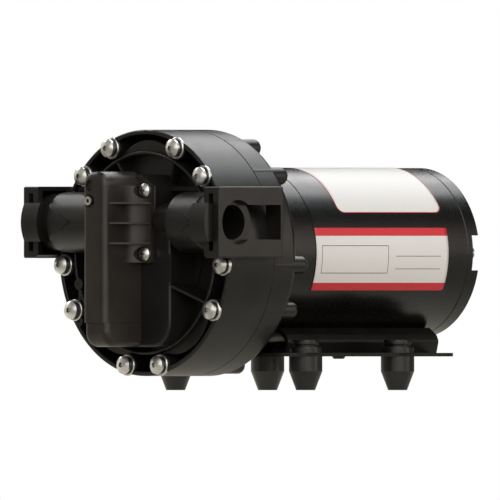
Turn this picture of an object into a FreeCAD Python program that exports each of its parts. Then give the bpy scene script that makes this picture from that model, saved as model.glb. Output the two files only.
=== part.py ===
import FreeCAD, Part
import math
import os

# Twelve-volt diaphragm pump: a round five-chamber pump head on the front of a
# permanent-magnet motor, carried on a saddle, a flat plate and four rubber feet.
# The motor axis runs along Y with the head facing -Y, X is across, Z is up and
# the floor is at zero. A station is a distance behind the head's front lip.

# Where the pump stands
axis_height = 68.5
foot_spacing_x = 93.4
foot_spacing_y = 63.8
foot_behind_head = 19.4

# Clearances, how far a cutter runs past a face, and how far joined shapes overlap
running_gap = 0.05
slip_gap = 0.15
loose_gap = 0.3
seam_bevel = 0.35
press_gap = 0.02
touching = 0.01
past = 1.0
bite = 0.5

# Pump head housings
head_radius = 61.5
upper_length = 31.3
lower_length = 16.3
lip_width = 2.4
lip_round = 0.9
rim_round = 3.6
ring_inset = 10.6
ring_wall = 1.7
ring_round = 0.7
petal_gap = 2.5
petal_front = 3.0
pocket_depth = 21.5
dish_depth = 9.0
dish_wall = 2.6
floor_step_radius = 33.0
floor_step_height = 0.8
gallery_depth = 8.6
gallery_ring_room = 1.3
gallery_ring_wall = 1.6
rear_wall = 3.2
rear_opening_radius = 15.0
rear_cavity_step = 4.5

# Head screws
screw_inset = 4.3
screw_angles = (24, 48, 96, 120, 168, 192, 240, 264, 312, 336)
head_screw_radius = 2.5
screw_head_radius = 4.5
screw_head_height = 2.9
head_edge_share = 0.4
torx_radius = 1.1
torx_depth = 0.9
torx_lobes = 6
torx_lobe_circle = 1.1
torx_lobe_radius = 0.35
lock_washer_radius = 3.7
lock_washer_thickness = 1.4
lock_washer_split = 0.7
flat_washer_radius = 5.4
flat_washer_thickness = 1.4
flat_washer_bevel = 0.35
washer_seat = 0.6
screw_boss_radius = 5.7
rear_boss_radius = 4.4
rear_boss_length = 8.2
rear_boss_round = 2.6
screw_tip_length = 0.9

# Tower on the front of the head
tower_front = -9.8
tower_half_width = 28.5
tower_edge_round = 1.2
tower_base_inset = 3.9
tower_base_radius = 13.0
tower_shoulder = 16.0
tower_neck_half_width = 17.5
tower_neck_top = 33.5
tower_top = 39.0
tower_top_half_width = 7.7
side_boss_radius = 7.1
side_boss_proud = 1.3
side_boss_height = -7.8
gusset_thickness = 1.4
top_gusset_angles = (24, 336)
low_gusset_angles = (120, 240)
gusset_inset = 1.1
gusset_inner_radius = 30.0
gusset_nose = 2.0
top_gusset_front = 5.5
drain_lug_inset = 4.0
drain_lug_radius = 2.9
drain_lug_low_inset = 16.9
drain_lug_spacing = 18.4
drain_lug_proud = 0.2
drain_lug_wall = 1.6
drain_pin_radius = 0.8
drain_pin_depth = 6.0

# Ports
port_height = 15.3
port_station = -2.7
port_tube_radius = 15.2
port_collar_radius = 14.2
port_neck_radius = 9.6
port_neck_start = 19.0
port_step = 33.6
left_port_start = 24.2
port_tube_inset = 6.9
port_tube_round = 3.0
port_bore_radius = 8.75
port_bore_depth = 18.0
port_mouth_proud = 4.5
port_spigot_radius = 12.7
port_spigot_length = 4.0
band_radius = 19.2
band_height = 19.3
passage_radius = 4.2
passage_inset = 12.9
arrow_width = 9.8
arrow_height = 9.0
arrow_stroke = 2.0
arrow_proud = 0.45
inlet_arrow_inset = 14.3
outlet_arrow_inset = 7.5

# Square socket blocks around the port mouths
block_reach = 4.4
block_width = 10.8
block_front = -16.0
block_back = 29.0
block_top = 33.1
block_bottom = -2.6
block_wall = 2.1
block_front_wall = 3.0
block_side_wall = 4.1
clip_slot_width = 3.2
clip_slot_height = 28.8
mouth_scallop_radius = 11.15
window_height = 17.3
web_front = 1.5
block_edge_round = 0.9

# Pressure switch in front of the tower
switch_half_width = 8.0
switch_front = -35.4
switch_top = 40.6
cap_inset = 0.1
cap_height = 12.0
cap_set_back = 1.2
cap_toe_round = 7.5
switch_wall = 2.0
switch_edge_round = 3.2
switch_top_round = 6.8
cover_flange = 2.2
flange_bottom = -4.8
cover_screw_x = 13.6
cover_screw_top_inset = 2.4
cover_screw_low_inset = 4.2
cover_screw_radius = 1.6
cover_screw_head_radius = 3.6
cover_screw_head_height = 3.0
cover_screw_length = 14.0
cover_cross_span = 3.6
cover_cross_width = 0.8
cover_cross_depth = 1.1
channel_radius = 3.9
fin_heights = (24.9, 14.9, 4.8)
fin_thickness = 1.0
fin_front = -31.8
flare_front = -24.0
flare_bulge = 2.4
flare_bulge_back = 2.2
flare_inset = 0.6
fin_inset = 0.4
adjuster_x = -2.6
adjuster_height = 26.0
adjuster_radius = 2.2
adjuster_length = 9.0
adjuster_proud = 1.3
adjuster_recess_radius = 3.3
adjuster_recess_depth = 1.2
adjuster_socket = 1.1
adjuster_socket_sides = 6
adjuster_socket_depth = 2.5
adjuster_boss_wall = 1.4
adjuster_boss_length = 6.0
tongue_thickness = 1.0
tongue_height = 8.0
sense_hole_radius = 1.5
sense_hole_drop = 4.0
dimple_height = 33.5
dimple_radius = 2.8
dimple_depth = 1.4
switch_diaphragm_radius = 5.6
switch_diaphragm_thickness = 1.0
plunger_disc_radius = 4.4
plunger_disc_thickness = 2.0
plunger_rod_radius = 1.4
plunger_rod_length = 9.5
plunger_travel = 1.2
plunger_foot_drop = 20.5
plunger_foot_width = 4.0
switch_button_rise = 3.0
switch_body_length = 6.0
switch_body_width = 10.0
switch_body_above = 4.9
switch_body_below = 9.9
switch_leg_width = 0.8
switch_leg_length = 5.0
switch_leg_spacing = 3.0
switch_carrier_above = 2.0
switch_carrier_below = 4.0
switch_button_radius = 1.2
switch_button_proud = 1.8
switch_button_inside = 2.0
spring_wire_radius = 0.35
spring_coil_radius = 2.6
spring_turns = 6
seat_radius = 3.6
seat_thickness = 1.4
seat_pocket_floor = 0.4

# Valves and diaphragm
chamber_count = 5
chamber_rim = 4.8
chamber_web = 5.48
chamber_depth = 7.2
valve_plate_gap = 0.3
diaphragm_thickness = 1.0
diaphragm_land = 0.5
diaphragm_pad_width = 3.0
inlet_hole_radius = 1.6
inlet_hole_circle = 4.6
inlet_hole_step = 60
inlet_valve_radius = 7.0
inlet_valve_thickness = 1.0
inlet_valve_edge = 0.3
inlet_stem_radius = 1.2
sewing_fine = 0.001
sewing_coarse = 0.01
outlet_hole_radius = 1.7
outlet_hole_inset = 10.5
outlet_hole_step = 6
outlet_valve_lap = 1.9
outlet_valve_thickness = 1.2
outlet_valve_crown = 0.6
outlet_stem_radius = 2.5
valve_bulb_height = 1.6
valve_bulb_proud = 0.8

# Wobble drive
wobble_tilt = 3.5
wobble_behind_diaphragm = 5.9
wobble_bearing_width = 7.6
wobble_bearing_bore = 6.0
wobble_bearing_split = 9.4
wobble_bearing_outer = 13.0
wobble_hub_radius = 16.4
wobble_plate_thickness = 4.6
wobble_arm_width = 11.0
wobble_pad_inset = 2.0
piston_edge = 4.2
front_piston_thickness = 2.4
front_piston_bevel = 1.2
rear_piston_thickness = 2.4
rear_piston_gap = 0.25
piston_screw_radius = 1.8
piston_screw_head_radius = 3.3
piston_screw_head_height = 1.3
cam_collar_radius = 8.2
cam_collar_thickness = 1.6
cam_sleeve_radius = 7.0
cam_sleeve_room = 1.2

# Motor
can_radius = 42.35
can_wall = 2.5
brush_end_room = 16.6
cap_length = 8.1
cap_rim = 3.4
cap_recess = 3.2
cap_edge_round = 0.8
cap_hub_wall = 2.5
cap_knob_wall = 1.0
cap_knob_proud = 1.6
cap_knob_round = 1.2
cap_skirt_wall = 2.0
cap_skirt_length = 4.0
notch_half_height = 8.7
notch_depth = 4.8
notch_room = 1.2
front_bell_thickness = 6.5
bell_hub_wall = 3.0
bell_shaft_room = 1.0
motor_bearing_outer = 11.0
motor_bearing_split = 7.6
motor_bearing_width = 7.0
bearing_lip = 1.5
shaft_radius = 4.0
shaft_reach = 4.4
shaft_bevel = 0.5
magnet_front_overhang = 6.0
magnet_back_overhang = 8.0
magnet_thickness = 6.2
magnet_half_angle = 61.0
air_gap = 0.8
core_room = 19.75
core_length = 70.0
core_slots = 12
core_slot_width = 3.0
core_slot_depth = 9.0
winding_overhang = 8.5
winding_inner_radius = 13.0
winding_inset = 1.5
winding_round = 2.5
riser_length = 2.0
commutator_length = 13.0
commutator_radius = 12.0
commutator_bars = 12
commutator_slot = 0.7
commutator_slot_depth = 1.2
riser_proud = 1.5
brush_gap = 0.1
brush_width = 5.0
brush_length = 8.0
brush_height = 13.0
brush_travel = 4.0
holder_wall = 1.2
holder_rise = 1.2
brush_spring_radius = 1.7
brush_spring_turns = 5
brush_spring_pressed = 4.3
brush_plate_thickness = 2.4
brush_plate_opening = 14.5
tie_bolt_radius = 2.0
tie_bolt_circle = 37.2
tie_bolt_head_radius = 3.6
tie_bolt_head_height = 3.2
tie_bolt_head_round = 1.0
tie_bolt_slot_width = 1.0
tie_bolt_slot_depth = 1.0
tie_bolt_angles = (90, 270)
motor_screw_radius = 1.9
motor_screw_head_radius = 3.4
motor_screw_head_height = 1.8
motor_screw_circle = 26.0
motor_screw_length = 8.0
motor_screw_angles = (45, 135, 225, 315)

# Wrap-round label on the can
label_front_inset = 30.8
label_back_inset = 13.5
label_low_angle = 116.5
label_high_angle = -64.0
label_thickness = 0.15
label_fan_points = 5

# Base
plate_front_inset = 1.4
plate_back_inset = 13.6
plate_half_width = 52.6
plate_corner_radius = 12.0
plate_notch_half_width = 19.0
plate_notch_depth = 8.5
plate_top = -49.9
plate_thickness = 1.8
saddle_front_inset = 23.4
saddle_back_inset = 8.6
saddle_wall = 2.2
saddle_half_width = 30.0
saddle_shoulder_x = 23.3
saddle_shoulder_z = -37.3
saddle_widest_z = -44.0
saddle_base_half_width = 28.4
saddle_lip_width = 8.0
saddle_slope_x = 1.5
saddle_slope_z = 3.0
saddle_edge_round = 3.0
screw_access_gap = 1.5
saddle_screw_radius = 2.5
saddle_screw_head_radius = 4.6
saddle_screw_head_height = 2.0
saddle_screw_inset = 22.0
rivet_radius = 2.0
rivet_head_radius = 3.4
rivet_head_height = 1.2
rivet_head_bevel = 0.8
rivet_inset = 14.0

# Rubber feet
foot_radius = 8.35
foot_tip_radius = 4.75
foot_taper_height = 9.4
foot_hole_radius = 2.7
foot_neck_radius = 6.2
foot_neck_half_height = 0.2
foot_cap_radius = 7.0
foot_cap_height = 6.6
foot_ring_radius = 8.2
foot_ring_height = 3.3
foot_ring_round = 0.9
foot_plate_hole_radius = 5.2

# Worked out from the sizes above
head_length = upper_length + lower_length
front_foot_station = head_length + foot_behind_head
foot_stations = (front_foot_station, front_foot_station + foot_spacing_y)
lip_y = -(front_foot_station + foot_spacing_y / 2)
floor = -axis_height
screw_circle_radius = head_radius - screw_inset
ring_radius = head_radius - ring_inset
cavity_radius = ring_radius - ring_wall
sheet_radius = cavity_radius - valve_plate_gap
gusset_outer_radius = ring_radius - gusset_inset
dish_back = dish_depth + dish_wall
plate_face = dish_back + gallery_depth
diaphragm_back = upper_length + diaphragm_thickness
drain_lug_x = -(ring_radius - drain_lug_inset)
low_drain_lug = -(ring_radius - drain_lug_low_inset)
drain_lug_heights = (low_drain_lug + drain_lug_spacing, low_drain_lug)
tower_base = -(ring_radius - tower_base_inset)
switch_bottom = tower_base + cap_inset
switch_seam = switch_bottom + cap_height
switch_back = tower_front - cover_flange
cover_screw_heights = (tower_neck_top - cover_screw_top_inset, flange_bottom + cover_screw_low_inset)
port_mouth = head_radius + port_mouth_proud
port_tube_end = head_radius - port_tube_inset
block_face = port_mouth + block_reach
inlet_arrow_x = -(port_tube_end - inlet_arrow_inset)
outlet_arrow_x = port_tube_end - outlet_arrow_inset

# The chambers touch the sheet's rim land outside and a web between neighbours
chamber_angles = [index * 360 / chamber_count for index in range(chamber_count)]
chamber_share = math.sin(math.pi / chamber_count)
chamber_circle_radius = (sheet_radius - chamber_rim + chamber_web / 2) / (1 + chamber_share)
chamber_radius = chamber_circle_radius * chamber_share - chamber_web / 2
chamber_floor = upper_length - chamber_depth
petal_radius = head_radius - lip_width - petal_gap - chamber_circle_radius
piston_radius = chamber_radius - piston_edge
wobble_pad_radius = piston_radius - wobble_pad_inset
outlet_hole_circle = chamber_circle_radius - outlet_hole_inset
outlet_valve_radius = outlet_hole_circle + outlet_hole_radius + outlet_valve_lap
gallery_ring_radius = outlet_valve_radius + gallery_ring_room + gallery_ring_wall
inlet_passage_x = ring_radius - passage_inset
outlet_passage_x = gallery_ring_radius - passage_inset
wobble_station = diaphragm_back + wobble_behind_diaphragm
shaft_front = wobble_station - shaft_reach
cam_sleeve_end = head_length + cam_sleeve_room

# Along the motor, each stage stands behind the one before it
bell_front = head_length + slip_gap
bell_back = bell_front + front_bell_thickness
front_bearing_front = bell_back - bearing_lip
core_front = bell_back + core_room
core_back = core_front + core_length
magnet_front = core_front - magnet_front_overhang
magnet_back = core_back + magnet_back_overhang
commutator_front = core_back + winding_overhang + riser_length
brush_station = commutator_front + commutator_length / 2
can_end = commutator_front + commutator_length + brush_end_room
cap_end = can_end + cap_length
rear_bearing_back = can_end - bearing_lip
magnet_outer = can_radius - can_wall - running_gap
magnet_inner = magnet_outer - magnet_thickness
core_radius = magnet_inner - air_gap
label_front = head_length + label_front_inset
label_back = can_end - label_back_inset
plate_front = head_length + plate_front_inset
plate_back = can_end - plate_back_inset
plate_underside = plate_top - plate_thickness
saddle_front = head_length + saddle_front_inset
saddle_back = can_end - saddle_back_inset

Y_AXIS = FreeCAD.Vector(0, 1, 0)
X_AXIS = FreeCAD.Vector(1, 0, 0)
Z_AXIS = FreeCAD.Vector(0, 0, 1)


def at(x, station, z):
    """A point from its place across, its station and its height above the motor axis."""
    return FreeCAD.Vector(x, lip_y + station, axis_height + z)


def polar(radius, angle):
    """Across and up from the motor axis, with the angle from the top towards +X."""
    turn = math.radians(angle)
    return radius * math.sin(turn), radius * math.cos(turn)


def rod(radius, front, back, x=0, z=0):
    """A cylinder along the motor axis."""
    return Part.makeCylinder(radius, back - front, at(x, front, z), Y_AXIS)


def pipe(outer, inner, front, back, x=0, z=0):
    """A tube along the motor axis."""
    return rod(outer, front, back, x, z).cut(rod(inner, front - past, back + past, x, z))


def cross_rod(radius, left, right, station, z):
    """A cylinder along X."""
    return Part.makeCylinder(radius, right - left, at(left, station, z), X_AXIS)


def post(radius, x, station, low, high):
    """A cylinder along Z."""
    return Part.makeCylinder(radius, high - low, at(x, station, low), Z_AXIS)


def bar(left, right, front, back, low, high):
    """A square-edged block."""
    return Part.makeBox(right - left, back - front, high - low, at(left, front, low))


def prism(outline, front, back):
    """An outline of (across, up) points, drawn out along the motor axis."""
    points = [at(x, front, z) for x, z in outline]
    face = Part.Face(Part.makePolygon(points + points[:1]))
    return face.extrude(FreeCAD.Vector(0, back - front, 0))


def slab(outline, low, high):
    """An outline of (across, station) points, drawn out upwards."""
    points = [at(x, station, low) for x, station in outline]
    face = Part.Face(Part.makePolygon(points + points[:1]))
    return face.extrude(FreeCAD.Vector(0, 0, high - low))


def side_profile(outline, left, right):
    """An outline of (station, up) points, drawn out across the pump."""
    points = [at(left, station, z) for station, z in outline]
    face = Part.Face(Part.makePolygon(points + points[:1]))
    return face.extrude(FreeCAD.Vector(right - left, 0, 0))


def turned(outline, x=0, z=0):
    """A lathe shape from (radius, station) points about an axis along Y."""
    points = [at(x + radius, station, z) for radius, station in outline]
    face = Part.Face(Part.makePolygon(points + points[:1]))
    return face.revolve(at(x, 0, z), Y_AXIS, 360)


def spun(outline, x, station):
    """A lathe shape from (radius, height) points about an upright axis."""
    points = [at(x + radius, station, z) for radius, z in outline]
    face = Part.Face(Part.makePolygon(points + points[:1]))
    return face.revolve(at(x, station, 0), Z_AXIS, 360)


def rotated(shape, angle):
    """A copy turned about the motor axis, from the top towards +X."""
    copy = shape.copy()
    copy.rotate(at(0, 0, 0), Y_AXIS, angle)
    return copy


def around(shape, angles):
    """Copies of a shape at several angles about the motor axis."""
    return [rotated(shape, angle) for angle in angles]


def tilted(shape):
    """A copy leaned over about the wobble centre, as the drive holds it at rest."""
    copy = shape.copy()
    copy.rotate(at(0, wobble_station, 0), X_AXIS, wobble_tilt)
    return copy


def mirrored(shape):
    """The same shape on the other side of the pump."""
    return shape.mirror(FreeCAD.Vector(0, 0, 0), X_AXIS)


def both_sides(shape):
    """A shape and its mirror image."""
    return [shape, mirrored(shape)]


def joined(shapes):
    """Several overlapping shapes as one solid."""
    return shapes[0].multiFuse(shapes[1:]).removeSplitter()


def group(shapes):
    """Several separate solids in one node."""
    return Part.makeCompound(shapes)


def softened(shape, size, chosen):
    """The edges that a test picks, rounded to a radius."""
    return shape.makeFillet(size, [edge for edge in shape.Edges if chosen(edge)])


def is_circle(edge, radius, station):
    """True for a round edge of a radius at a station, about an axis along Y."""
    curve = edge.Curve
    if not isinstance(curve, Part.Circle):
        return False
    same_place = abs(curve.Center.y - lip_y - station) < touching
    same_size = abs(curve.Radius - radius) < touching
    return same_place and same_size and abs(curve.Axis.y) > 0.99


def seam_groove(radius, station):
    """A shallow V-shaped ring that bevels both pieces along a round seam."""
    return turned([(radius - seam_bevel, station), (radius, station - seam_bevel),
                   (radius + past, station - seam_bevel), (radius + past, station + seam_bevel),
                   (radius, station + seam_bevel)])


def is_upright(edge):
    """True for a straight edge along Z."""
    if not isinstance(edge.Curve, Part.Line):
        return False
    return abs(edge.Curve.Direction.z) > 0.99


def coil(start, direction, radius, wire, length, turns):
    """A round-wire spring with a start point, a direction and a free length."""
    helix = Part.makeHelix((length - 2 * wire) / turns, length - 2 * wire, radius)
    profile = Part.Wire(Part.makeCircle(wire, FreeCAD.Vector(radius, 0, 0), Y_AXIS))
    spring = Part.Wire(helix).makePipeShell([profile], True, False)
    spring.translate(FreeCAD.Vector(0, 0, wire))
    spring.Placement = FreeCAD.Placement(
        start, FreeCAD.Rotation(Z_AXIS, direction)).multiply(spring.Placement)
    return spring


def screw(head_radius_, shank_radius, seat, head_height, tip, x, z):
    """A pan-head screw along the axis: a domed head in front of the seat, shank behind."""
    top = seat - head_height
    rim = seat - head_height * head_edge_share
    ball = (head_radius_ ** 2 + (rim - top) ** 2) / (2 * (rim - top))
    half_turn = math.asin(head_radius_ / ball) / 2
    crown = Part.Arc(at(x, top, z),
                     at(x + ball * math.sin(half_turn), top + ball * (1 - math.cos(half_turn)), z),
                     at(x + head_radius_, rim, z)).toShape()
    rest = [(head_radius_, rim), (head_radius_, seat), (shank_radius, seat),
            (shank_radius, tip - shank_radius / 2), (shank_radius / 2, tip), (0, tip), (0, top)]
    sides = Part.makePolygon([at(x + radius, station, z) for radius, station in rest])
    face = Part.Face(Part.Wire([crown] + sides.Edges))
    return face.revolve(at(x, 0, z), Y_AXIS, 360)


# Head housings

def tower():
    """The raised manifold: a wide lower body, a neck and a chamfered top."""
    back = dish_back
    base_half = tower_half_width - tower_base_radius
    base_centre = tower_base + tower_base_radius
    body = bar(-tower_half_width, tower_half_width, tower_front, back,
               base_centre, tower_shoulder)
    foot = bar(-base_half, base_half, tower_front, back, tower_base, base_centre)
    corners = both_sides(rod(tower_base_radius, tower_front, back, base_half, base_centre))
    neck = prism([(-tower_neck_half_width, base_centre), (tower_neck_half_width, base_centre),
                  (tower_neck_half_width, tower_neck_top), (tower_top_half_width, tower_top),
                  (-tower_top_half_width, tower_top),
                  (-tower_neck_half_width, tower_neck_top)], tower_front, back)
    whole = joined([body, foot, neck] + corners)
    return softened(whole, tower_edge_round,
                    lambda e: e.BoundBox.YMax < lip_y + tower_front + touching)


def side_bosses():
    """Half-round bosses on the flanks of the tower."""
    boss = cross_rod(side_boss_radius, tower_neck_half_width,
                     tower_half_width + side_boss_proud, tower_front, side_boss_height)
    keep = bar(0, head_radius, tower_front, dish_back, tower_base, tower_shoulder)
    return both_sides(boss.common(keep))


def gusset(front):
    """A rib from the ring wall to the tower, drawn at the top, with its nose at a station."""
    half = gusset_thickness / 2
    back = dish_back - bite
    return side_profile([
        (back, gusset_inner_radius), (front, gusset_inner_radius),
        (front, gusset_inner_radius + gusset_nose), (ring_round, gusset_outer_radius),
        (back, gusset_outer_radius)], -half, half)


def petals():
    """Round swellings over the chambers, which fill the pockets outside the ring wall."""
    inside = rod(ring_radius - ring_wall / 2, 0, upper_length)
    petal = rod(petal_radius, petal_front, pocket_depth + bite, 0, chamber_circle_radius)
    petal = softened(petal, ring_round, lambda e: is_circle(e, petal_radius, petal_front))
    return around(petal.cut(inside), chamber_angles)


def port_block():
    """The square socket around the mouth of the +X port, hollow behind its walls."""
    inner_x = block_face - block_width
    whole = bar(inner_x, block_face, block_front, block_back, block_bottom, block_top)
    whole = softened(whole, block_edge_round, lambda e: e.BoundBox.XMax > inner_x + touching)
    hollow = bar(inner_x - past, block_face - block_side_wall, block_front + block_front_wall,
                 block_back - block_wall, block_bottom + block_wall, block_top - block_wall)
    slot_right = block_face - block_side_wall
    slot = bar(slot_right - clip_slot_width, slot_right, block_front - past,
               block_front + block_front_wall + past, port_height - clip_slot_height / 2,
               port_height + clip_slot_height / 2)
    scallop = cross_rod(mouth_scallop_radius, slot_right - past, block_face + past,
                        port_station, port_height)
    window = bar(slot_right - past, block_face + past, port_station, block_back - block_wall,
                 port_height - window_height / 2, port_height + window_height / 2)
    return whole.cut(hollow).cut(slot).cut(scallop).cut(window)


def port_tube(start):
    """The fat tube of the +X port from its inner end, with neck, spigot and collar band."""
    tube = cross_rod(port_tube_radius, start, port_tube_end, port_station, port_height)
    tube = tube.makeFillet(port_tube_round, [
        edge for edge in tube.Edges
        if edge.BoundBox.XMin > port_tube_end - touching and isinstance(edge.Curve, Part.Circle)])
    neck = cross_rod(port_neck_radius, port_neck_start, port_tube_end - past, port_station,
                     port_height)
    collar = cross_rod(port_collar_radius, port_tube_end - past, port_mouth - port_spigot_length,
                       port_station, port_height)
    spigot = cross_rod(port_spigot_radius, port_tube_end - past, port_mouth, port_station,
                       port_height)
    band = cross_rod(band_radius, port_tube_end, port_mouth, port_station, port_height)
    keep = bar(port_tube_end, port_mouth, port_station - band_radius - past, port_station,
               port_height - band_height / 2, port_height + band_height / 2)
    return joined([tube, neck, collar, spigot, band.common(keep)])


def arrow(x):
    """A raised chevron on the front of a port tube, pointing along the flow to +X."""
    half = arrow_height / 2
    tip = arrow_width / 2
    outline = [(x - tip, port_height - half), (x - tip + arrow_stroke, port_height - half),
               (x + tip, port_height), (x - tip + arrow_stroke, port_height + half),
               (x - tip, port_height + half), (x + tip - arrow_stroke, port_height)]
    skin = cross_rod(port_tube_radius + arrow_proud, x - arrow_width, x + arrow_width,
                     port_station, port_height)
    return prism(outline, port_station - port_tube_radius - past, port_station).common(skin)


def web():
    """The thin roof from the neck of the tower to a port block, and the block's sill."""
    roof = bar(tower_neck_half_width - bite, block_face - block_edge_round, web_front,
               block_back - block_edge_round, block_top - block_wall, block_top)
    sill = bar(port_tube_end, block_face - block_edge_round, web_front,
               block_back - block_edge_round, block_bottom, block_bottom + block_wall)
    return [roof, sill]


def drain_lugs():
    """Two small lugs with pin holes on the inlet side of the dish."""
    high, low = drain_lug_heights
    half = drain_lug_wall / 2
    lugs = [rod(drain_lug_radius, -drain_lug_proud, dish_back, drain_lug_x, z)
            for z in drain_lug_heights]
    wall = bar(drain_lug_x - half, drain_lug_x + half, bite, dish_back, low, high)
    solid = joined(lugs + [wall])
    for z in drain_lug_heights:
        solid = solid.cut(rod(drain_pin_radius, -past, drain_pin_depth, drain_lug_x, z))
    return solid


def upper_housing():
    """Front half of the head: lip, pockets, ring wall, dish, tower and ports."""
    outer = pipe(head_radius, head_radius - lip_width, 0, upper_length)
    outer = softened(outer, lip_round, lambda e: is_circle(e, head_radius, 0)
                     or is_circle(e, head_radius - lip_width, 0))
    deck = pipe(head_radius, cavity_radius, pocket_depth, upper_length)
    ring = pipe(ring_radius, cavity_radius, 0, upper_length)
    ring = softened(ring, ring_round, lambda e: is_circle(e, ring_radius, 0)
                    or is_circle(e, cavity_radius, 0))
    dish = rod(ring_radius - bite, dish_depth, dish_back)
    floor_step = rod(floor_step_radius, dish_depth - floor_step_height, dish_back)
    boss = rod(screw_boss_radius, washer_seat, upper_length, 0, screw_circle_radius)
    bosses = [each.common(rod(head_radius, 0, upper_length)) for each in around(boss, screw_angles)]
    divider = pipe(gallery_ring_radius, gallery_ring_radius - gallery_ring_wall,
                   dish_back - bite, plate_face - loose_gap)
    gussets = around(gusset(top_gusset_front), top_gusset_angles)
    gussets += around(gusset(tower_front), low_gusset_angles)
    solid = joined([outer, deck, ring, dish, floor_step, divider, tower()] + bosses + petals())
    solid = joined([solid] + side_bosses() + gussets + [drain_lugs()])
    for piece in web():
        solid = joined([solid] + both_sides(piece))
    cavity = rod(cavity_radius, dish_back, upper_length + past)
    blocks = both_sides(port_block()) + [port_tube(port_step),
                                         mirrored(port_tube(left_port_start))]
    solid = joined([solid] + blocks + [arrow(inlet_arrow_x), arrow(outlet_arrow_x)])
    solid = solid.cut(cavity.cut(rod(gallery_ring_radius, dish_back - past, plate_face - loose_gap)))
    solid = solid.cut(rod(gallery_ring_radius - gallery_ring_wall, dish_back, plate_face))
    for sign, passage_x in ((-1, inlet_passage_x), (1, outlet_passage_x)):
        mouth = cross_rod(port_bore_radius, port_mouth - port_bore_depth, block_face + past,
                          port_station, port_height)
        gallery = cross_rod(passage_radius, passage_x, port_mouth, port_station, port_height)
        drop = rod(passage_radius, port_station, dish_back + past, passage_x, port_height)
        bore = joined([mouth, gallery, drop])
        solid = solid.cut(bore if sign > 0 else mirrored(bore))
    notch = rod(flat_washer_radius + slip_gap, block_front - past, washer_seat,
                0, screw_circle_radius)
    hole = rod(head_screw_radius + slip_gap, -past, upper_length + past,
               0, screw_circle_radius)
    for angle in screw_angles:
        solid = solid.cut(rotated(notch, angle)).cut(rotated(hole, angle))
    sense = rod(sense_hole_radius, tower_front - past, dish_back + past,
                adjuster_x, adjuster_height - sense_hole_drop)
    pad = rod(switch_diaphragm_radius + slip_gap, tower_front - past,
              tower_front + switch_diaphragm_thickness, adjuster_x, adjuster_height)
    solid = solid.cut(sense).cut(pad)
    for x in (-cover_screw_x, cover_screw_x):
        for z in cover_screw_heights:
            solid = solid.cut(rod(cover_screw_radius + running_gap, tower_front - past,
                                  switch_back + cover_screw_length + loose_gap, x, z))
    return solid.cut(seam_groove(head_radius, upper_length))


def lower_housing():
    """Rear half of the head: a cup with a rounded back and screw bosses."""
    inner = cavity_radius - rear_cavity_step
    solid = rod(head_radius, upper_length, head_length)
    solid = softened(solid, rim_round, lambda e: is_circle(e, head_radius, head_length))
    boss = rod(rear_boss_radius, upper_length, head_length + rear_boss_length,
               0, screw_circle_radius)
    boss = softened(boss, rear_boss_round, lambda e: is_circle(
        e, rear_boss_radius, head_length + rear_boss_length))
    solid = joined([solid] + around(boss, screw_angles))
    solid = solid.cut(rod(inner, diaphragm_back - touching, head_length - rear_wall))
    solid = solid.cut(rod(sheet_radius + valve_plate_gap, upper_length - past, diaphragm_back))
    solid = solid.cut(rod(rear_opening_radius, upper_length, head_length + past))
    hole = rod(head_screw_radius + running_gap, upper_length - past,
               head_length + rear_boss_length + past, 0, screw_circle_radius)
    fixing = rod(motor_screw_radius + slip_gap, upper_length, head_length + past,
                 0, motor_screw_circle)
    for cut in around(hole, screw_angles) + around(fixing, motor_screw_angles):
        solid = solid.cut(cut)
    return solid.cut(seam_groove(head_radius, upper_length))


def head_screws():
    seat = washer_seat - flat_washer_thickness - lock_washer_thickness
    tip = head_length + rear_boss_length + screw_tip_length
    one = screw(screw_head_radius, head_screw_radius, seat, screw_head_height, tip,
                0, screw_circle_radius)
    top = seat - screw_head_height
    lobes = [rod(torx_radius, top - past, top + torx_depth, 0, screw_circle_radius)]
    for index in range(torx_lobes):
        x, z = polar(torx_lobe_circle, index * 360 / torx_lobes)
        lobes.append(rod(torx_lobe_radius, top - past, top + torx_depth,
                         x, screw_circle_radius + z))
    one = one.cut(joined(lobes))
    return group(around(one, screw_angles))


def lock_washers():
    back = washer_seat - flat_washer_thickness
    front = back - lock_washer_thickness
    ring = pipe(lock_washer_radius, head_screw_radius + slip_gap, front, back,
                0, screw_circle_radius)
    half = lock_washer_split / 2
    split = bar(-half, half, front - past, back + past,
                screw_circle_radius, screw_circle_radius + lock_washer_radius + past)
    return group(around(ring.cut(split), screw_angles))


def flat_washers():
    front = washer_seat - flat_washer_thickness
    ring = turned([
        (head_screw_radius + slip_gap, washer_seat), (head_screw_radius + slip_gap, front),
        (flat_washer_radius - flat_washer_bevel, front),
        (flat_washer_radius, front + flat_washer_bevel),
        (flat_washer_radius, washer_seat)], 0, screw_circle_radius)
    return group(around(ring, screw_angles))


# Pressure switch

def switch_box():
    """The outer block of the switch box above its seam, rounded over the top and in front."""
    block = bar(-switch_half_width, switch_half_width, switch_front, tower_front,
                switch_seam, switch_top)
    block = softened(block, switch_top_round, lambda e: isinstance(e.Curve, Part.Line)
                     and abs(e.Curve.Direction.y) > 0.99
                     and e.BoundBox.ZMin > axis_height + switch_top - touching)
    return softened(block, switch_edge_round, lambda e: e.BoundBox.ZMax > axis_height + switch_seam
                    + touching and e.BoundBox.YMax < lip_y + switch_front + touching)


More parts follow.
